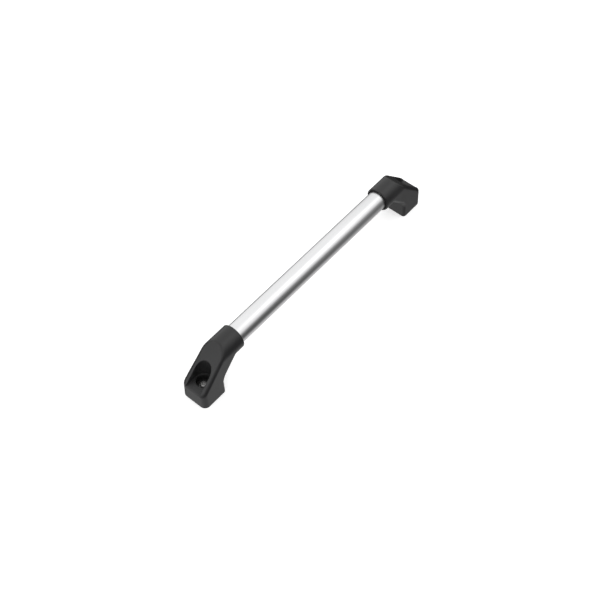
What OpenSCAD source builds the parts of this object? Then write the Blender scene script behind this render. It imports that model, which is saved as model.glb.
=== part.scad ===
// Fixed cargo bar: a straight tube held between two moulded brackets with 45 degree legs.
// Origin: midway between the two mounting screws, on the plane of the feet.
// +X runs along the bar towards the right bracket, +Z away from the deck. Millimetres.

/* [Bar] */
// Outside diameter of the tube
tube_d = 28; // [25:0.5:32]
// Wall thickness of the tube
tube_wall = 2; // [1.5:0.5:3]
// Height of the tube's axis above the deck
bar_z = 58.5; // [56:0.5:66]
// Distance between the two mounting screws
screw_spacing = 414; // [300:1:900]

/* [Bracket] */
// Outside diameter of the collar that grips the tube
collar_d = 35.4; // [35:0.2:40]
// How far the collar's mouth stands inboard of the screw
mouth_inset = 60; // [58:1:64]
// How far the tube goes into the collar
socket_depth = 27; // [22:1:28]
// Distance from the screw to the outer end of the foot
toe_length = 20; // [18:0.5:22]
// Distance from the screw to the inner end of the foot
heel_length = 19; // [17:0.5:20]
// Height of the upright outer end face
toe_z = 25; // [23:0.5:27]
// Height of the upright inner end face
heel_z = 26; // [22:0.5:27]
// Taper of the bracket's two sides, in degrees
side_draft = 2.5; // [1:0.5:3]
// Radius of the two upright outer corners
corner_r = 8; // [4:0.5:9]

/* [Screw pocket] */
// Width of the open pocket that lets the driver in
pocket_w = 23; // [20:0.5:25]
// Diameter of the deeper recess round the screw's head
recess_d = 19; // [16:0.5:20]
// Height of the seat under the washer
seat_z = 14; // [12:0.5:15]

/* [Mounting screw] */
// Thread diameter
screw_d = 6; // [5:1:6]
// Diameter of the button head
head_d = 10.5; // [9.5:0.5:10.5]
// Height of the button head
head_h = 3.3; // [2.8:0.1:3.3]
// Hexagon socket, across the flats
socket_af = 4; // [3:0.5:4]
// Depth of the hexagon socket
socket_h = 2.1; // [1.5:0.1:2.2]
// Length of thread that goes into the deck
thread_h = 14; // [10:1:30]
// Outside diameter of the washer
washer_d = 12; // [11:0.5:12.5]
// Thickness of the washer
washer_h = 1.6; // [1:0.1:2]
// Outside diameter of the steel bush in the foot
bush_d = 10; // [9:0.5:11]

/* [Tube fixing] */
// Thread diameter of the countersunk screw under the collar
lock_d = 4; // [3:0.5:5]
// Diameter of that screw's head
lock_head_d = 7.5; // [6:0.5:8]
// Distance from the collar's mouth to that screw
lock_inset = 13; // [11:1:16]
// Length of the plug inside the tube's end
plug_length = 20; // [16:1:24]
// Width of the sealing ring in the collar's mouth
seal_w = 2; // [1.5:0.1:3]
// Radial thickness of the sealing ring
seal_t = 1.8; // [1.2:0.1:2]

/* [Underside] */
// Wall left round the hollow under the foot
core_wall = 4; // [3:0.5:5]
// Depth of the hollow under the foot
core_h = 8; // [4:0.5:9]
// Thickness of the ribs in the hollow
rib_t = 3; // [2:0.5:4]
// Diameter of the boss round the bush
boss_d = 18; // [16:0.5:20]

/* [Hidden] */
$fn = 96;
eps = 0.05;

// Clearances
slide_gap = 0.1;
bore_gap = 0.3;

// Places along X, on the right-hand side
screw_x = screw_spacing / 2;
mouth_x = screw_x - mouth_inset;
tube_end_x = mouth_x + socket_depth;
toe_x = screw_x + toe_length;
heel_x = screw_x - heel_length;
lock_x = mouth_x + lock_inset;
plug_x = tube_end_x - plug_length;

// Radii
tube_r = tube_d / 2;
tube_bore_r = tube_r - tube_wall;
collar_r = collar_d / 2;
screw_r = screw_d / 2;
bush_bore_r = screw_r + bore_gap;
shank_r = screw_r - 0.35;

// Heights
collar_top_z = bar_z + collar_r;
head_z = seat_z + washer_h;

// Half width of the foot on the deck, where the tapered sides meet it
foot_half_w = (collar_r + bar_z * sin(side_draft)) / cos(side_draft);
tangent_y = collar_r * cos(side_draft);
tangent_z = bar_z + collar_r * sin(side_draft);

// Ball that gives the button head its crown: it passes through the rim and the crown's flat top
rim_h = 0.4;
crown_r = head_d / 4;
dome_drop = ((head_d / 2) ^ 2 + rim_h ^ 2 - crown_r ^ 2 - head_h ^ 2) / (2 * (head_h - rim_h));
dome_r = sqrt((head_d / 2) ^ 2 + (rim_h + dome_drop) ^ 2);

// A disc or rod along +X, starting at x
module rod_x(x, length, r) {
    translate([x, 0, bar_z]) rotate([0, 90, 0]) cylinder(h = length, r = r);
}

// Bar tube, open at both ends inside the collars
module grip_tube() {
    color("gainsboro") difference() {
        rod_x(-tube_end_x, 2 * tube_end_x, tube_r);
        rod_x(-tube_end_x - eps, 2 * (tube_end_x + eps), tube_bore_r);
        for (side = [-1, 1])
            translate([side * lock_x, 0, 0]) cylinder(h = bar_z, r = lock_d / 2 + slide_gap);
    }
}

// The bracket's end view: a half-round top that runs tangent into two tapered sides
module end_outline() {
    translate([0, bar_z]) circle(collar_r);
    polygon([
        [-foot_half_w, 0], [foot_half_w, 0],
        [tangent_y, tangent_z], [-tangent_y, tangent_z]
    ]);
}

// The bracket's side view: an upright foot under a leg with 45 degree faces
module side_outline() {
    polygon([
        [heel_x, 0], [toe_x, 0], [toe_x, toe_z],
        [toe_x + toe_z - collar_top_z, collar_top_z],
        [heel_x + heel_z - bar_z, collar_top_z],
        [heel_x + heel_z - bar_z, bar_z],
        [heel_x, heel_z]
    ]);
}

// The bracket's plan view, with two round outer corners
module plan_outline(inset = 0) {
    x0 = mouth_x;
    x1 = toe_x - inset;
    half_w = foot_half_w - inset;
    r = corner_r - inset / 2;
    translate([x0, -half_w]) square([x1 - r - x0, 2 * half_w]);
    translate([x1 - r - eps, r - half_w]) square([r + eps, 2 * (half_w - r)]);
    for (side = [-1, 1]) translate([x1 - r, side * (half_w - r)]) circle(r);
}

// The solid of the leg and foot before anything is cut from it
module leg_blank() {
    intersection() {
        rotate([90, 0, 0]) linear_extrude(2 * foot_half_w + 2, center = true) side_outline();
        translate([mouth_x, 0, 0]) rotate([90, 0, 90])
            linear_extrude(toe_x - mouth_x + 1) end_outline();
        linear_extrude(collar_top_z + 1) plan_outline();
    }
}

// Open pocket over the mounting screw: round at the back, with a floor that runs out level with
// the toe's top edge, and a recess down to the washer's seat
module screw_pocket() {
    pocket_r = pocket_w / 2;
    translate([screw_x, 0, toe_z]) cylinder(h = collar_top_z, r = pocket_r);
    translate([screw_x, -pocket_r, toe_z]) cube([toe_length + 1, pocket_w, collar_top_z]);
    translate([screw_x, 0, seat_z]) cylinder(h = toe_z, r = recess_d / 2);
}

// Hollow under the foot, divided by ribs and a boss round the bush
module foot_core() {
    difference() {
        translate([0, 0, -1]) linear_extrude(core_h + 1) intersection() {
            plan_outline(core_wall);
            translate([heel_x + core_wall, -foot_half_w])
                square([toe_x - heel_x, 2 * foot_half_w]);
        }
        translate([screw_x, 0, -2]) cylinder(h = core_h + 4, r = boss_d / 2);
        translate([mouth_x, -rib_t / 2, -2]) cube([toe_x - mouth_x, rib_t, core_h + 4]);
        translate([screw_x - rib_t / 2, -foot_half_w, -2])
            cube([rib_t, 2 * foot_half_w, core_h + 4]);
    }
}

// Right-hand bracket with its socket, seal groove, pocket and screw holes
module bracket() {
    color("#2b2c2e") difference() {
        union() {
            leg_blank();
            rod_x(mouth_x, heel_x + heel_z - bar_z + collar_r - mouth_x, collar_r);
        }
        rod_x(mouth_x - 1, socket_depth + 1, tube_r + slide_gap);
        rod_x(mouth_x - 1, seal_w + 1.4, tube_r + seal_t);
        screw_pocket();
        translate([screw_x, 0, -1]) cylinder(h = seat_z + 2, r = bush_d / 2);
        foot_core();
        lock_hole();
    }
}

// Countersunk hole up through the underside of the collar
module lock_hole() {
    head_r = lock_head_d / 2;
    cone_h = head_r - lock_d / 2;
    z0 = bar_z - collar_r;
    translate([lock_x, 0, z0 - 2]) cylinder(h = 2.6, r = head_r + slide_gap);
    translate([lock_x, 0, z0 + 0.6])
        cylinder(h = cone_h, r1 = head_r + slide_gap, r2 = lock_d / 2 + slide_gap);
    translate([lock_x, 0, z0]) cylinder(h = collar_r, r = lock_d / 2 + slide_gap);
}

// Rubber ring in the collar's mouth, tight round the tube
module collar_seal() {
    ring_r = seal_t / 2;
    color("#161616") translate([mouth_x + 0.4, 0, bar_z]) rotate([0, 90, 0])
        rotate_extrude() translate([tube_r, 0]) union() {
            square([ring_r, seal_w]);
            translate([ring_r, ring_r / 2]) square([ring_r, seal_w - ring_r]);
            translate([ring_r, ring_r / 2]) intersection() {
                circle(ring_r / 2);
                translate([0, -ring_r]) square([ring_r, ring_r + eps]);
            }
        }
}

// Plug inside the tube's end, threaded for the lock screw
module tube_plug() {
    color("dimgray") difference() {
        rod_x(plug_x, plug_length, tube_bore_r - slide_gap);
        translate([lock_x, 0, 0]) cylinder(h = bar_z, r = lock_d / 2);
    }
}

// Countersunk screw that pins the tube in the collar
module lock_screw() {
    head_r = lock_head_d / 2;
    cone_h = head_r - lock_d / 2;
    z0 = bar_z - collar_r + 0.6;
    color("silver") difference() {
        union() {
            translate([lock_x, 0, z0]) cylinder(h = cone_h, r1 = head_r, r2 = lock_d / 2);
            translate([lock_x, 0, z0 + cone_h - eps]) cylinder(h = 8, r = lock_d / 2 - 0.02);
        }
        translate([lock_x, 0, z0 - 1]) cylinder(h = 2.2, r = 2.5 / sqrt(3), $fn = 6);
    }
}

// Steel bush that carries the screw's load past the plastic
module foot_bush() {
    color("silver") translate([screw_x, 0, 0]) difference() {
        cylinder(h = seat_z, r = bush_d / 2 - 0.02);
        translate([0, 0, -1]) cylinder(h = seat_z + 2, r = bush_bore_r);
    }
}

// Plain washer under the screw's head
module mount_washer() {
    color("silver") translate([screw_x, 0, seat_z]) difference() {
        cylinder(h = washer_h, r = washer_d / 2);
        translate([0, 0, -1]) cylinder(h = washer_h + 2, r = screw_r + 0.2);
    }
}

// Button head screw: plain waisted shank in the foot, full thread below the deck plane
module mount_screw() {
    thread_gap = 0.2;
    tip_h = 1;
    color("silver") translate([screw_x, 0, 0]) difference() {
        union() {
            translate([0, 0, head_z]) intersection() {
                cylinder(h = head_h, r = head_d / 2);
                translate([0, 0, -dome_drop]) sphere(dome_r);
            }
            translate([0, 0, -thread_gap - eps])
                cylinder(h = head_z + thread_gap + 2 * eps, r = shank_r);
            translate([0, 0, tip_h - thread_h]) cylinder(h = thread_h - tip_h - thread_gap, r = screw_r);
            translate([0, 0, -thread_h]) cylinder(h = tip_h, r1 = screw_r - tip_h, r2 = screw_r);
        }
        translate([0, 0, head_z + head_h - socket_h])
            cylinder(h = socket_h + 1, r = socket_af / sqrt(3), $fn = 6);
    }
}

// The left-hand pieces are the right-hand ones seen in a mirror
module left() {
    mirror([1, 0, 0]) children();
}

grip_tube();
left() bracket();  // left_bracket
bracket();  // right_bracket
left() collar_seal();  // left_collar_seal
collar_seal();  // right_collar_seal
left() tube_plug();  // left_tube_plug
tube_plug();  // right_tube_plug
left() lock_screw();  // left_lock_screw
lock_screw();  // right_lock_screw
left() foot_bush();  // left_foot_bush
foot_bush();  // right_foot_bush
left() mount_washer();  // left_mount_washer
mount_washer();  // right_mount_washer
left() mount_screw();  // left_mount_screw
mount_screw();  // right_mount_screw
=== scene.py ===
"""The looks of a fixed cargo bar: a satin tube between two moulded brackets, screwed to a deck.

Everything is in metres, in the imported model's frame: the origin is midway between the mounting
screws on the deck, +X runs along the bar and +Z is up. Overall sizes come from the frame's own nodes,
and those that their boxes don't show are named below. A right-hand piece is built once, and the
left-hand one is its mirror image or a copy.
"""

import math

import bpy
import numpy as np
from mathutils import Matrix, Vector


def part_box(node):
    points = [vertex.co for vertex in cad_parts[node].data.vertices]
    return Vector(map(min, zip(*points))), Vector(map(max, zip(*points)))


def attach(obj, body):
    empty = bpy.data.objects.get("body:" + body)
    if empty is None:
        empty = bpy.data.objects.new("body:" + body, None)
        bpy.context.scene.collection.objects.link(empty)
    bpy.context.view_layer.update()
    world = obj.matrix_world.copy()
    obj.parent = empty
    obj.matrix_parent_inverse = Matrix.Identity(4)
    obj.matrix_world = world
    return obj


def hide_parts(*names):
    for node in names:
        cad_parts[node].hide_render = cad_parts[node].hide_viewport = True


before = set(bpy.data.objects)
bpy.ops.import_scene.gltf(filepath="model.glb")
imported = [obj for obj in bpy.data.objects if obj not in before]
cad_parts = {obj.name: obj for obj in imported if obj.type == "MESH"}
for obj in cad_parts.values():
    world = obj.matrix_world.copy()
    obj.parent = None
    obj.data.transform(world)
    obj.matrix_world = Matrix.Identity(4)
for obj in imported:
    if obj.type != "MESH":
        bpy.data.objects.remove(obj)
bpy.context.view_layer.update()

MM = 0.001

# ---------------------------------------------------------------- sizes read from the frame

bracket_low, bracket_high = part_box("right_bracket")
tube_low, tube_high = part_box("grip_tube")
seal_low, seal_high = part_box("right_collar_seal")
plug_low, plug_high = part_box("right_tube_plug")
lock_low, lock_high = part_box("right_lock_screw")
washer_low, washer_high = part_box("right_mount_washer")
screw_low, screw_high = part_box("right_mount_screw")

BAR_Z = (tube_low.z + tube_high.z) / 2
TUBE_R = (tube_high.z - tube_low.z) / 2
TUBE_END_X = tube_high.x
COLLAR_R = bracket_high.z - BAR_Z
MOUTH_X = bracket_low.x
TOE_X = bracket_high.x
FOOT_HALF_W = bracket_high.y
SCREW_X = (screw_low.x + screw_high.x) / 2
HEAD_R = (screw_high.y - screw_low.y) / 2
WASHER_R = washer_high.y
SEAT_Z = washer_low.z
HEAD_Z = washer_high.z
BUSH_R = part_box("right_foot_bush")[1].y
SEAL_R = seal_high.y
LOCK_X = (lock_low.x + lock_high.x) / 2
LOCK_HEAD_R = lock_high.y
LOCK_HEAD_Z = lock_low.z
PLUG_R = plug_high.y

# The sides' taper that takes the collar's radius out to the foot's half width
DRAFT = math.acos(COLLAR_R / math.hypot(FOOT_HALF_W, BAR_Z)) - math.atan2(BAR_Z, FOOT_HALF_W)

# ---------------------------------------------------------------- sizes of its own

# Leg and foot: the toe is the foot's outer end, the heel its inner end, and the slope runs at 45 degrees
TOE_Z = 25 * MM
HEEL_X = SCREW_X - 19 * MM
HEEL_Z = 26 * MM
SLOPE_ROUND = 4.9 * MM
SLOPE_CREASE = 0.12 * MM
TOE_CORNER_ROUND = 8 * MM
TOE_EDGE_ROUND = 8 * MM
HEEL_EDGE_ROUND = 4.5 * MM
HEEL_FILLET = 4 * MM

# Collar and tube
COLLAR_FILLET = 1.5 * MM
MOUTH_ROUND = 1 * MM
SOCKET_R = TUBE_R + 0.1 * MM
GROOVE_X = seal_high.x
GROOVE_RIM = 0.4 * MM
TUBE_BORE_R = TUBE_R - 2 * MM

# Pocket, and the recess in its floor round the screw's head
POCKET_R = 11.5 * MM
POCKET_RIM = 0.8 * MM
POCKET_FILLET = 0.3 * MM
RECESS_R = 9.5 * MM
RECESS_RIM = 0.25 * MM

# Hollow under the foot
CORE_WALL = 4 * MM
CORE_H = 8 * MM
CORE_CORNER_R = 6 * MM
CORE_FILLET = 0.8 * MM
RIB_HALF_T = 1.5 * MM
BOSS_R = 9 * MM

# Screws: the one through the foot, and the lock screw that pins the tube from under the collar
SCREW_R = 3 * MM
SHANK_R = 2.65 * MM
SCREW_PITCH = 1 * MM
SCREW_SOCKET = 4 * MM
LOCK_R = 2 * MM
LOCK_CONE_H = LOCK_HEAD_R - LOCK_R
LOCK_PITCH = 0.7 * MM
LOCK_SOCKET = 2.5 * MM

# How finely the meshes are made
GRID_STEP = 0.66 * MM
SEGMENTS = 96

SQUARE_ROOT_HALF = math.sqrt(0.5)
TINY = 1e-9


# ---------------------------------------------------------------- the bracket as a distance field

def rounded_max(a, b, radius, cosine=0):
    """What two solids share, with the edge between them rounded.
    The cosine is that of the angle between the directions their two faces look in."""
    u = a + radius
    v = b + radius
    corner = np.sqrt((u ** 2 + v ** 2 - 2 * cosine * u * v) / (1 - cosine ** 2)) - radius
    return np.where((u > cosine * v) & (v > cosine * u), corner, np.maximum(a, b))


def rounded_min(a, b, radius):
    """Two solids joined, with a fillet between them."""
    return -rounded_max(-a, -b, radius)


def tombstone(y, z):
    """The bracket's end view: a half-round top that runs tangent into two tapered sides.
    Gives the distance to it, and the upward part of the direction in which its surface looks."""
    across = np.abs(y)
    rise = z - BAR_Z
    from_axis = np.maximum(np.hypot(y, rise), TINY)
    on_top = np.arctan2(rise, across) > DRAFT
    side = across * math.cos(DRAFT) + rise * math.sin(DRAFT) - COLLAR_R
    distance = np.where(on_top, from_axis - COLLAR_R, side)
    upward = np.where(on_top, rise / from_axis, math.sin(DRAFT))
    return distance, upward


def foot_walls(section, toe):
    """The sides and the toe, with the upright edges between them rounded. Gives the distance to
    them, and the outward and forward parts of the direction in which they look."""
    outward = np.maximum(section + TOE_CORNER_ROUND, TINY)
    forward = np.maximum(toe + TOE_CORNER_ROUND, 0)
    length = np.hypot(outward, forward)
    return rounded_max(section, toe, TOE_CORNER_ROUND), outward / length, forward / length


def leg_field(x, y, z, slope):
    """The leg and foot. The slope's rounded edges start a little outside it, so that they meet
    it at a crease, except along the toe."""
    section, upward = tombstone(y, z)
    walls, outward, forward = foot_walls(section, x - TOE_X)
    radius = SLOPE_ROUND * (1 - forward) + TOE_EDGE_ROUND * forward
    cosine = SQUARE_ROOT_HALF * (upward * outward + forward)
    inner_slope = (HEEL_X + HEEL_Z - x - z) * SQUARE_ROOT_HALF
    heel = rounded_min(HEEL_X - x, inner_slope, HEEL_FILLET)
    heel = np.maximum(heel, HEEL_X + HEEL_Z - BAR_Z - x)
    return np.maximum.reduce([
        rounded_max(walls, slope - SLOPE_CREASE * outward, radius, cosine),
        rounded_max(section, heel, HEEL_EDGE_ROUND),
        -z,
    ])


def collar_field(x, y, z, slope):
    """The collar, run on into the leg and cut off by the slope."""
    from_axis = np.maximum(np.hypot(y, z - BAR_Z), TINY)
    barrel = rounded_max(from_axis - COLLAR_R, MOUTH_X - x, MOUTH_ROUND)
    barrel = np.maximum(barrel, x - HEEL_X)
    cosine = SQUARE_ROOT_HALF * (z - BAR_Z) / from_axis
    return rounded_max(barrel, slope - SLOPE_CREASE, SLOPE_ROUND, cosine)


def blank_field(x, y, z):
    """Leg, foot and collar before anything is cut from them. The fillet where the collar meets
    the leg fades out up to the bar's axis, as above it the two run into each other."""
    slope = (x - TOE_X + z - TOE_Z) * SQUARE_ROOT_HALF
    fillet = COLLAR_FILLET * np.clip((BAR_Z - z) / (COLLAR_R / 2), 0, 1)
    body = rounded_min(leg_field(x, y, z, slope), collar_field(x, y, z, slope), fillet)
    return np.maximum(body, slope)


def pocket_field(x, y, z):
    """The pocket over the mounting screw: round at the back, open at the toe and upwards."""
    plan = np.where(x < SCREW_X, np.hypot(x - SCREW_X, y), np.abs(y)) - POCKET_R
    return rounded_max(plan, TOE_Z - z, POCKET_FILLET)


def core_field(x, y, z):
    """The hollow under the foot, between its ribs and round the boss of the bush."""
    across = np.abs(y) - FOOT_HALF_W + CORE_WALL
    hollow = rounded_max(across, x - TOE_X + CORE_WALL, CORE_CORNER_R)
    hollow = np.maximum(hollow, HEEL_X + CORE_WALL - x)
    hollow = np.maximum(hollow, BOSS_R - np.hypot(x - SCREW_X, y))
    hollow = np.maximum(hollow, RIB_HALF_T - np.minimum(np.abs(y), np.abs(x - SCREW_X)))
    return rounded_max(hollow, z - CORE_H, CORE_FILLET)


def lock_hole_field(x, y, z):
    """The countersunk hole that runs up through the underside of the collar."""
    gap = 0.1 * MM
    radius = np.interp(z, [LOCK_HEAD_Z, LOCK_HEAD_Z + LOCK_CONE_H], [LOCK_HEAD_R, LOCK_R]) + gap
    return np.maximum(np.hypot(x - LOCK_X, y) - radius, z - BAR_Z)


def bracket_field(points):
    """Distance to the right-hand bracket's surface, less than zero inside the plastic."""
    x, y, z = points[..., 0], points[..., 1], points[..., 2]
    from_axis = np.hypot(y, z - BAR_Z)
    from_screw = np.hypot(x - SCREW_X, y)
    body = blank_field(x, y, z)
    body = rounded_max(body, -pocket_field(x, y, z), POCKET_RIM)
    body = rounded_max(body, -np.maximum(from_screw - RECESS_R, SEAT_Z - z), RECESS_RIM)
    body = np.maximum(body, BUSH_R - from_screw)
    body = np.maximum(body, -np.maximum(from_axis - SOCKET_R, x - TUBE_END_X))
    body = rounded_max(body, -np.maximum(from_axis - SEAL_R, x - GROOVE_X), GROOVE_RIM)
    body = np.maximum(body, -core_field(x, y, z))
    return np.maximum(body, -lock_hole_field(x, y, z))


# ---------------------------------------------------------------- meshes from a distance field

def slopes(field, points, reach=0.02 * MM):
    """The direction in which the field grows fastest at each point, as unit vectors."""
    steps = np.eye(3) * reach
    rise = np.stack([field(points + step) - field(points - step) for step in steps], -1)
    return rise / np.maximum(np.linalg.norm(rise, axis=-1, keepdims=True), TINY * MM)


def crossings(values, points, axis):
    """Grid edges along one axis that cut the surface: the four cells round each, and where it cuts."""
    ahead = np.roll(values, -1, axis)
    cut = (values < 0) != (ahead < 0)
    where = points[cut]
    where[:, axis] += GRID_STEP * values[cut] / (values[cut] - ahead[cut])
    cell = np.argwhere(cut)
    u, v = np.eye(3, dtype=int)[[(axis + 1) % 3, (axis + 2) % 3]]
    ring = np.stack([cell, cell - u, cell - u - v, cell - v], 1)
    entering = values[cut] >= 0
    ring[entering] = ring[entering][:, ::-1]
    return np.ravel_multi_index(np.moveaxis(ring, -1, 0), values.shape), where


def corner_points(owner, where, normal, stiffness=0.05):
    """One vertex for each cell, where the tangent planes of its crossings meet. The stiffness
    holds it near their middle where the planes are nearly parallel."""
    count = np.bincount(owner)[:, None]
    middle = np.stack([np.bincount(owner, column) for column in where.T], -1) / count
    offset = np.sum(normal * (where - middle[owner]), -1, keepdims=True)
    planes = np.zeros((len(middle), 3, 3))
    pulls = np.zeros((len(middle), 3))
    np.add.at(planes, owner, normal[:, :, None] * normal[:, None, :])
    np.add.at(pulls, owner, normal * offset)
    shift = np.linalg.solve(planes + stiffness * np.eye(3), pulls[..., None])[..., 0]
    return middle + np.clip(shift, -GRID_STEP, GRID_STEP)


def contour(field, low, high, settling_steps=3):
    """Dual contouring: vertices and quads of the surface where the field is zero, edges kept crisp.
    At the end the vertices settle onto the surface in a few steps."""
    margin = 2 * GRID_STEP
    axes = [np.arange(a - margin, b + margin, GRID_STEP) for a, b in zip(low, high)]
    points = np.stack(np.meshgrid(*axes, indexing="ij"), -1)
    values = field(points)
    found = [crossings(values, points, axis) for axis in range(3)]
    cells = np.concatenate([ring for ring, _ in found])
    where = np.concatenate([place for _, place in found])
    _, faces = np.unique(cells, return_inverse=True)
    faces = faces.reshape(-1, 4)
    normal = slopes(field, where)
    vertices = corner_points(faces.ravel(), np.repeat(where, 4, 0), np.repeat(normal, 4, 0))
    for _ in range(settling_steps):
        vertices = vertices - slopes(field, vertices) * field(vertices)[:, None]
    return vertices, faces


def corner_normals(field, vertices, faces, inset=0.35):
    """The surface's own normal at each corner of each face, taken a little inside the face."""
    corners = vertices[faces]
    middle = corners.mean(1, keepdims=True)
    return slopes(field, corners + inset * (middle - corners))


def edge_share(field, vertices, reach=0.5 * MM, full=0.9 * MM):
    """How strongly the surface bends outwards at each vertex, from 0 to 1, for wear on the edges."""
    steps = np.concatenate([np.eye(3), -np.eye(3)]) * reach
    around = sum(field(vertices + step) for step in steps) - 6 * field(vertices)
    return np.clip(around / reach ** 2 * full, 0, 1)


# ---------------------------------------------------------------- turned meshes

ANGLES = np.arange(SEGMENTS) * math.tau / SEGMENTS

# Takes a right-hand shape to the left-hand side
FLIP = np.array([-1, 1, 1])


def softened(corners, radius, steps=4, longest=0.45):
    """A closed outline of (height, radius) corners with each corner rounded. No rounding takes
    more than the longest share of a side."""
    corners = [np.array(corner, float) for corner in corners]
    outline = []
    for i, corner in enumerate(corners):
        ends = [corners[i - 1] - corner, corners[(i + 1) % len(corners)] - corner]
        near, far = [corner + way * min(radius / np.linalg.norm(way), longest) for way in ends]
        for t in np.linspace(0, 1, steps + 1):
            outline.append((1 - t) ** 2 * near + 2 * t * (1 - t) * corner + t ** 2 * far)
    return outline


def turned(rings, closed=False):
    """Vertices and faces turned about +Z from rings of (height, radius), listed up the outside.
    A radius may change with the angle. A closed outline is a ring; an open one has flat ends."""
    vertices = [
        np.stack([radius * np.cos(ANGLES), radius * np.sin(ANGLES), np.full(SEGMENTS, height)], -1)
        for height, radius in rings
    ]
    grid = np.arange(len(rings) * SEGMENTS).reshape(-1, SEGMENTS)
    above = np.roll(grid, -1, 0)
    quads = np.stack([grid, np.roll(grid, -1, 1), np.roll(above, -1, 1), above], -1)
    faces = quads[: None if closed else -1].reshape(-1, 4).tolist()
    if not closed:
        faces += [grid[0, ::-1].tolist(), grid[-1].tolist()]
    return np.concatenate(vertices), faces


def hexagon(across_flats):
    """The radius of a hexagon at each angle, with a corner on +X."""
    sixth = math.tau / 6
    return across_flats / 2 / np.cos((ANGLES % sixth) - sixth / 2)


def thread_rings(low, high, crest_r, pitch):
    """Rings of a right-hand thread that fades out at both ends. Its crests and roots are flat."""
    rings = []
    depth = 0.55 * pitch
    rings_per_turn = 12
    for height in np.arange(low, high, pitch / rings_per_turn):
        wave = np.abs(2 * ((height / pitch - ANGLES / math.tau) % 1) - 1)
        groove = np.clip(1.5 * wave - 0.25, 0, 1)
        fade = min((height - low) / pitch, (high - height) / pitch, 1)
        rings.append((height, crest_r - depth * fade * groove))
    return rings


def socket_rings(top, depth, across_flats):
    """Rings down a hexagon socket, with a small bevel at its mouth and a cone at its bottom."""
    bevel = 0.15 * MM
    return [
        (top, hexagon(across_flats) + bevel),
        (top - bevel, hexagon(across_flats)),
        (top - depth, hexagon(across_flats)),
        (top - depth, hexagon(across_flats) - bevel),
        (top - depth - 0.3 * MM, 0.1 * MM),
    ]


def along_bar(vertices):
    """Turns a piece made about +Z so that it lies on the bar's axis, its heights along +X."""
    return np.stack([vertices[:, 2], vertices[:, 1], BAR_Z - vertices[:, 0]], -1)


def standing(vertices, x):
    """Moves a piece made about +Z to stand at x."""
    return vertices + np.array([x, 0, 0])


def both_sides(vertices, faces):
    """The right-hand shape and its mirror image, each with the side's name."""
    left = (vertices * FLIP, [face[::-1] for face in faces])
    return ("right", (vertices, faces)), ("left", left)


# ---------------------------------------------------------------- materials

# Where the noise patterns start, so that their own middle isn't at the bar's
NOISE_START = (17.3, 5.1, 9.7)


def principled(name, **sockets):
    """A Principled material whose even values are set on its own sockets."""
    material = bpy.data.materials.new(name)
    material.use_nodes = True
    shader = material.node_tree.nodes["Principled BSDF"]
    for socket, value in sockets.items():
        shader.inputs[socket.replace("_", " ")].default_value = value
    return material


def noise(material, scale, detail=3, stretch=(1, 1, 1)):
    """A noise pattern in the row frame, with scale in bumps to the metre."""
    nodes, links = material.node_tree.nodes, material.node_tree.links
    place = nodes.new("ShaderNodeTexCoord")
    mapping = nodes.new("ShaderNodeMapping")
    texture = nodes.new("ShaderNodeTexNoise")
    mapping.inputs["Scale"].default_value = Vector(stretch) * scale
    mapping.inputs["Location"].default_value = NOISE_START
    texture.inputs["Scale"].default_value = 1
    texture.inputs["Detail"].default_value = detail
    links.new(place.outputs["Object"], mapping.inputs["Vector"])
    links.new(mapping.outputs["Vector"], texture.inputs["Vector"])
    return texture.outputs["Fac"]


def edges(material):
    """How worn each place is, from the mesh's own edge attribute."""
    attribute = material.node_tree.nodes.new("ShaderNodeAttribute")
    attribute.attribute_name = "edge"
    return attribute.outputs["Fac"]


def spread(owner, source, low, high, start=0.3, end=0.7, curve="LINEAR"):
    """A material's or world's pattern, stretched from its start and end to low and high."""
    mapped = owner.node_tree.nodes.new("ShaderNodeMapRange")
    mapped.interpolation_type = curve
    for socket, value in zip(("From Min", "From Max", "To Min", "To Max"), (start, end, low, high)):
        mapped.inputs[socket].default_value = value
    owner.node_tree.links.new(source, mapped.inputs["Value"])
    return mapped.outputs["Result"]


def combined(owner, operation, a, b):
    """Two patterns of a material or world, put together by one sum, product or other operation."""
    maths = owner.node_tree.nodes.new("ShaderNodeMath")
    maths.operation = operation
    owner.node_tree.links.new(a, maths.inputs[0])
    owner.node_tree.links.new(b, maths.inputs[1])
    return maths.outputs["Value"]


def tinted(material, source, dark, light):
    """The base colour, from dark to light as the pattern goes from 0 to 1."""
    ramp = material.node_tree.nodes.new("ShaderNodeValToRGB")
    ramp.color_ramp.elements[0].color = (*dark, 1)
    ramp.color_ramp.elements[1].color = (*light, 1)
    material.node_tree.links.new(source, ramp.inputs["Fac"])
    shader = material.node_tree.nodes["Principled BSDF"]
    material.node_tree.links.new(ramp.outputs["Color"], shader.inputs["Base Color"])


def roughened(material, source):
    """The roughness follows a pattern."""
    shader = material.node_tree.nodes["Principled BSDF"]
    material.node_tree.links.new(source, shader.inputs["Roughness"])


def embossed(material, layers):
    """Bumps from (pattern, height in metres) layers, each on top of the one before."""
    links = material.node_tree.links
    normal = None
    for source, height in layers:
        bump = material.node_tree.nodes.new("ShaderNodeBump")
        bump.inputs["Distance"].default_value = height
        links.new(source, bump.inputs["Height"])
        if normal:
            links.new(normal, bump.inputs["Normal"])
        normal = bump.outputs["Normal"]
    links.new(normal, material.node_tree.nodes["Principled BSDF"].inputs["Normal"])


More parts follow.
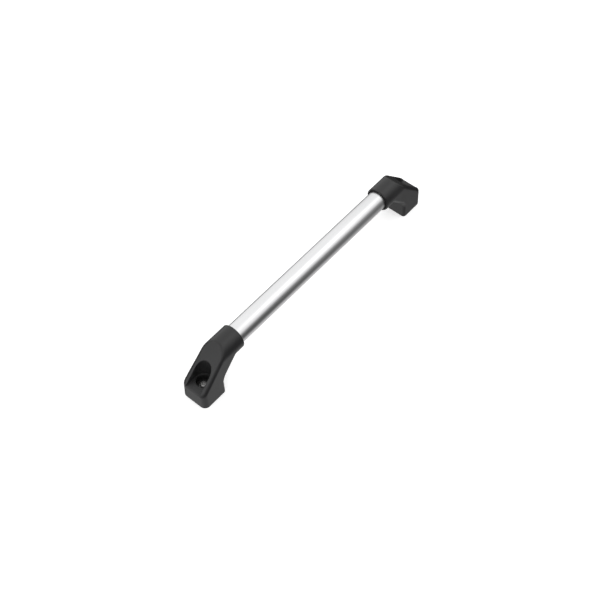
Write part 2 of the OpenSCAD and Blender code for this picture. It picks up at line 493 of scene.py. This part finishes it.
def satin_aluminium():
    """Anodised tube stock: fine drawn lines along the bar, and faint patches from handling."""
    made = principled("satin_aluminium", Metallic=1.0)
    lines = noise(made, 2600, detail=4, stretch=(0.006, 1, 1))
    patches = noise(made, 28, detail=2, stretch=(0.4, 1, 1))
    both = combined(made, "ADD", spread(made, lines, 0, 0.6), spread(made, patches, 0, 0.4))
    tinted(made, both, (0.74, 0.745, 0.75), (0.83, 0.83, 0.835))
    dullness = combined(made, "ADD", spread(made, lines, 0.25, 0.32), spread(made, patches, 0, 0.05))
    roughened(made, dullness)
    embossed(made, [(lines, 0.004 * MM)])
    return made


def bracket_nylon():
    """Black moulded nylon: a fine leathery grain, faint flow marks, and edges rubbed a little."""
    made = principled("bracket_nylon")
    grain = noise(made, 2400, detail=3)
    orange_peel = noise(made, 320, detail=2)
    flow = noise(made, 45, detail=4, stretch=(1, 1, 0.5))
    worn = combined(made, "MULTIPLY", edges(made), spread(made, flow, 0.35, 1))
    shade = combined(made, "ADD", spread(made, flow, 0, 0.45), spread(made, worn, 0, 0.55, 0, 1))
    tinted(made, shade, (0.013, 0.013, 0.0135), (0.023, 0.023, 0.024))
    polish = spread(made, worn, 0, 0.08, 0, 1)
    roughened(made, combined(made, "SUBTRACT", spread(made, grain, 0.34, 0.44), polish))
    embossed(made, [(orange_peel, 0.012 * MM), (grain, 0.012 * MM)])
    return made


def seal_rubber():
    """Soft black rubber with a bloom."""
    made = principled("seal_rubber", Specular_IOR_Level=0.3)
    bloom = noise(made, 400, detail=4)
    tinted(made, bloom, (0.006, 0.006, 0.006), (0.016, 0.016, 0.015))
    roughened(made, spread(made, bloom, 0.55, 0.75))
    embossed(made, [(noise(made, 3000), 0.01 * MM)])
    return made


def plug_nylon():
    """Dark grey nylon, as moulded."""
    made = principled("plug_nylon")
    flow = noise(made, 120, detail=4)
    tinted(made, flow, (0.06, 0.06, 0.06), (0.10, 0.10, 0.098))
    roughened(made, spread(made, flow, 0.42, 0.58))
    embossed(made, [(noise(made, 2000), 0.015 * MM)])
    return made


def zinc_steel():
    """Bright zinc plate over steel, with its cloudy crystals."""
    made = principled("zinc_steel", Metallic=1.0)
    clouds = noise(made, 600, detail=5)
    tinted(made, clouds, (0.46, 0.48, 0.51), (0.62, 0.64, 0.66))
    roughened(made, spread(made, clouds, 0.28, 0.42))
    embossed(made, [(noise(made, 2500), 0.006 * MM)])
    return made


def stainless_steel():
    """Stainless fasteners with a slightly uneven polish."""
    made = principled("stainless_steel", Metallic=1.0)
    polish = noise(made, 500, detail=4)
    tinted(made, polish, (0.42, 0.42, 0.415), (0.54, 0.535, 0.53))
    roughened(made, spread(made, polish, 0.48, 0.58))
    embossed(made, [(noise(made, 1800, detail=5), 0.008 * MM)])
    return made


MATERIALS = {
    make.__name__: make()
    for make in (
        satin_aluminium, bracket_nylon, seal_rubber, plug_nylon, zinc_steel, stainless_steel
    )
}


# ---------------------------------------------------------------- pieces

def add_piece(name, shape, slot, node, normals=None, edge=None):
    """Makes one piece from its vertices and faces, with its finish, in place of a CAD node.
    Without normals of its own it is smooth, with sharp edges where it turns by over 40 degrees."""
    vertices, faces = shape
    mesh = bpy.data.meshes.new(name)
    mesh.from_pydata([tuple(v) for v in vertices], [], [tuple(f) for f in faces])
    mesh.shade_smooth()
    if normals is None:
        mesh.set_sharp_from_angle(angle=math.radians(40))
    else:
        mesh.normals_split_custom_set(normals.reshape(-1, 3).tolist())
    if edge is not None:
        mesh.attributes.new("edge", "FLOAT", "POINT").data.foreach_set("value", edge)
    mesh.materials.append(MATERIALS[slot])
    piece = bpy.data.objects.new(name, mesh)
    bpy.context.scene.collection.objects.link(piece)
    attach(piece, "root")
    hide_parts(node)


def add_brackets():
    """Both moulded brackets, from one contoured half and its mirror image."""
    vertices, faces = contour(bracket_field, bracket_low, bracket_high)
    normals = corner_normals(bracket_field, vertices, faces)
    edge = edge_share(bracket_field, vertices)
    add_piece("right_bracket_moulding", (vertices, faces), "bracket_nylon", "right_bracket",
              normals, edge)
    add_piece("left_bracket_moulding", (vertices * FLIP, faces[:, ::-1]), "bracket_nylon",
              "left_bracket", normals[:, ::-1] * FLIP, edge)


def ring_outline(low, high, inner, outer, soften):
    """Rings of a closed band between two heights and two radii."""
    corners = [(low, inner), (low, outer), (high, outer), (high, inner)]
    return softened(corners, soften)


def add_tube():
    """The bar's tube, with its cut ends eased."""
    rings = ring_outline(-TUBE_END_X, TUBE_END_X, TUBE_BORE_R, TUBE_R, 0.4 * MM)
    vertices, faces = turned(rings, closed=True)
    add_piece("bar_tube", (along_bar(vertices), faces), "satin_aluminium", "grip_tube")


def add_seals():
    """A wiper ring in each collar's mouth, with a lip that leans on the tube."""
    low, high = seal_low.x, seal_high.x
    lip = 0.35 * (high - low)
    corners = [
        (low, TUBE_R), (low, TUBE_R + lip), (low + lip, SEAL_R), (high, SEAL_R), (high, TUBE_R)
    ]
    vertices, faces = turned(softened(corners, 0.3 * MM), closed=True)
    for side, shape in both_sides(along_bar(vertices), faces):
        add_piece(f"{side}_wiper_ring", shape, "seal_rubber", f"{side}_collar_seal")


def add_plugs():
    """A plug in each end of the tube, with crush ribs that hold it until its screw is in."""
    low, high = plug_low.x, plug_high.x
    ribbed = PLUG_R - 0.25 * MM * (np.sin(6 * ANGLES) ** 2)
    rings = [
        (low, PLUG_R - 1.2 * MM), (low + 1.2 * MM, ribbed), (high - 0.8 * MM, ribbed),
        (high, PLUG_R - 0.8 * MM)
    ]
    vertices, faces = turned(rings)
    for side, shape in both_sides(along_bar(vertices), faces):
        add_piece(f"{side}_end_plug", shape, "plug_nylon", f"{side}_tube_plug")


def deck_screw():
    """Button head screw: waisted shank through the foot, thread below the deck."""
    tip, top = screw_low.z, screw_high.z
    rim = HEAD_Z + 0.4 * MM
    flat = HEAD_R / 2
    dome = [
        (rim + (top - rim) * math.sin(t), flat + (HEAD_R - flat) * math.cos(t))
        for t in np.linspace(0, math.pi / 2, 10)
    ]
    return turned([
        (tip, SCREW_R - 1 * MM),
        *thread_rings(tip + 0.6 * MM, -0.2 * MM, SCREW_R, SCREW_PITCH),
        (0, SHANK_R), (HEAD_Z, SHANK_R), (HEAD_Z, HEAD_R - 0.2 * MM), (HEAD_Z + 0.15 * MM, HEAD_R),
        *dome,
        *socket_rings(top, 2.1 * MM, SCREW_SOCKET),
    ])


def lock_screw():
    """Countersunk screw that pins the tube, with its head and hexagon socket at the bottom."""
    low, high = LOCK_HEAD_Z, lock_high.z
    neck = low + LOCK_CONE_H
    return turned([
        (low + 0.9 * MM, 0.1 * MM),
        (low + 1.2 * MM, hexagon(LOCK_SOCKET)),
        (low, hexagon(LOCK_SOCKET)),
        (low, LOCK_HEAD_R - 0.2 * MM),
        (low + 0.2 * MM, LOCK_HEAD_R - 0.1 * MM),
        (neck, LOCK_R),
        *thread_rings(neck + 0.3 * MM, high - 0.3 * MM, LOCK_R, LOCK_PITCH),
        (high, LOCK_R - 0.5 * MM),
    ])


def add_fasteners():
    """What stands upright at each end: deck screw, washer, bush, and the screw under the collar."""
    washer_rings = ring_outline(SEAT_Z, HEAD_Z, SCREW_R + 0.2 * MM, WASHER_R, 0.3 * MM)
    bush_rings = ring_outline(0, SEAT_Z, SCREW_R + 0.3 * MM, BUSH_R, 0.5 * MM)
    upright = [
        ("deck_screw", deck_screw(), SCREW_X, "stainless_steel", "mount_screw"),
        ("deck_washer", turned(washer_rings, closed=True), SCREW_X, "stainless_steel", "mount_washer"),
        ("foot_sleeve", turned(bush_rings, closed=True), SCREW_X, "zinc_steel", "foot_bush"),
        ("pin_screw", lock_screw(), LOCK_X, "zinc_steel", "lock_screw"),
    ]
    for side, sign in (("left", -1), ("right", 1)):
        for name, (vertices, faces), x, slot, node in upright:
            shape = (standing(vertices, sign * x), faces)
            add_piece(f"{side}_{name}", shape, slot, f"{side}_{node}")


add_brackets()
add_tube()
add_seals()
add_plugs()
add_fasteners()


# ---------------------------------------------------------------- studio

CAMERA_AZIMUTH = math.radians(40.05)
CAMERA_ELEVATION = math.radians(54.07)
CAMERA_DISTANCE = 1.4678
CAMERA_AIM = Vector((-15.25, 2.79, -7.16)) * MM
CAMERA_LENS = 64.86
CAMERA_SENSOR = 36

FLOOR_REACH = 6
FLOOR_GLOW = 0.45

# How bright the studio is below and overhead, and the heights between which it changes
BELOW, OVERHEAD = 0.68, 1.08
DIM_HEIGHT, BRIGHT_HEIGHT = -0.5, 0.05

# Dark parts of the studio: a direction, the cosines where each starts and is full, what light is left
DARK_STRETCHES = (
    ((0.40, -0.91, -0.10), 0.70, 0.97, 0.14),
    ((-0.36, -0.92, -0.15), 0.68, 0.85, 0.10),
    ((-0.85, -0.45, -0.20), 0.72, 0.92, 0.40),
    ((0.95, 0.15, -0.20), 0.65, 0.88, 0.08),
    ((0.85, -0.20, -0.50), 0.85, 1.00, 0.10),
    ((0.25, 0.65, -0.72), 0.78, 0.93, 0.15),
    ((-0.40, 0.90, -0.15), 0.85, 0.95, 0.10),
    ((-0.40, 0.10, 0.90), 0.90, 0.98, 0.65),
)


def add_floor():
    """A plain pale floor at deck height, with a little glow of its own so that it stays white.
    It takes no part in reflections, so they show the studio."""
    corners = [(-1, -1, 0), (1, -1, 0), (1, 1, 0), (-1, 1, 0)]
    mesh = bpy.data.meshes.new("studio_floor")
    mesh.from_pydata([Vector(corner) * FLOOR_REACH for corner in corners], [], [(0, 1, 2, 3)])
    pale = principled("studio_floor", Roughness=0.9, Specular_IOR_Level=0.0)
    tinted(pale, noise(pale, 6, detail=2), (0.90, 0.90, 0.90), (0.93, 0.93, 0.93))
    shader = pale.node_tree.nodes["Principled BSDF"]
    shader.inputs["Emission Color"].default_value = (1, 1, 1, 1)
    shader.inputs["Emission Strength"].default_value = FLOOR_GLOW
    mesh.materials.append(pale)
    floor = bpy.data.objects.new("studio_floor", mesh)
    floor.visible_glossy = False
    bpy.context.scene.collection.objects.link(floor)


def towards(world, direction, axis, span, low, high):
    """Changes from low to high as the cosine between the direction and the axis goes over a span."""
    share = world.node_tree.nodes.new("ShaderNodeVectorMath")
    share.operation = "DOT_PRODUCT"
    share.inputs[1].default_value = Vector(axis).normalized()
    world.node_tree.links.new(direction, share.inputs[0])
    return spread(world, share.outputs["Value"], low, high, *span, curve="SMOOTHSTEP")


def light_world():
    """Bright overhead and dimmer below, with the dark stretches, and white where the camera looks."""
    world = bpy.data.worlds.new("studio")
    bpy.context.scene.world = world
    world.use_nodes = True
    nodes = world.node_tree.nodes
    background = nodes["Background"]
    background.inputs["Color"].default_value = (1, 1, 1, 1)
    direction = nodes.new("ShaderNodeTexCoord").outputs["Generated"]
    radiance = towards(world, direction, (0, 0, 1), (DIM_HEIGHT, BRIGHT_HEIGHT), BELOW, OVERHEAD)
    for axis, start, end, left in DARK_STRETCHES:
        share = towards(world, direction, axis, (start, end), 1, left)
        radiance = combined(world, "MULTIPLY", radiance, share)
    seen = nodes.new("ShaderNodeLightPath").outputs["Is Camera Ray"]
    strength = combined(world, "MAXIMUM", radiance, seen)
    world.node_tree.links.new(strength, background.inputs["Strength"])


def add_softbox(name, place, size, power):
    """A square area light that faces the bar."""
    light = bpy.data.lights.new(name, "AREA")
    light.size = size
    light.energy = power
    lamp = bpy.data.objects.new(name, light)
    lamp.location = place
    lamp.rotation_euler = (-Vector(place)).to_track_quat("-Z", "Y").to_euler()
    bpy.context.scene.collection.objects.link(lamp)


def add_camera():
    """The camera at the viewing angle of the reference picture."""
    ahead = Vector((
        math.cos(CAMERA_AZIMUTH) * math.cos(CAMERA_ELEVATION),
        math.sin(CAMERA_AZIMUTH) * math.cos(CAMERA_ELEVATION),
        -math.sin(CAMERA_ELEVATION),
    ))
    camera = bpy.data.objects.new("camera", bpy.data.cameras.new("camera"))
    camera.data.lens = CAMERA_LENS
    camera.data.sensor_width = CAMERA_SENSOR
    camera.location = CAMERA_AIM - ahead * CAMERA_DISTANCE
    camera.rotation_euler = ahead.to_track_quat("-Z", "Y").to_euler()
    bpy.context.scene.collection.objects.link(camera)
    bpy.context.scene.camera = camera


add_floor()
light_world()
add_softbox("top_softbox", (0.90, -0.50, 1.70), 0.9, 2.0)
add_softbox("side_softbox", (-1.70, 0.80, 0.70), 1.2, 1.2)
add_camera()
bpy.context.scene.view_settings.view_transform = "Standard"
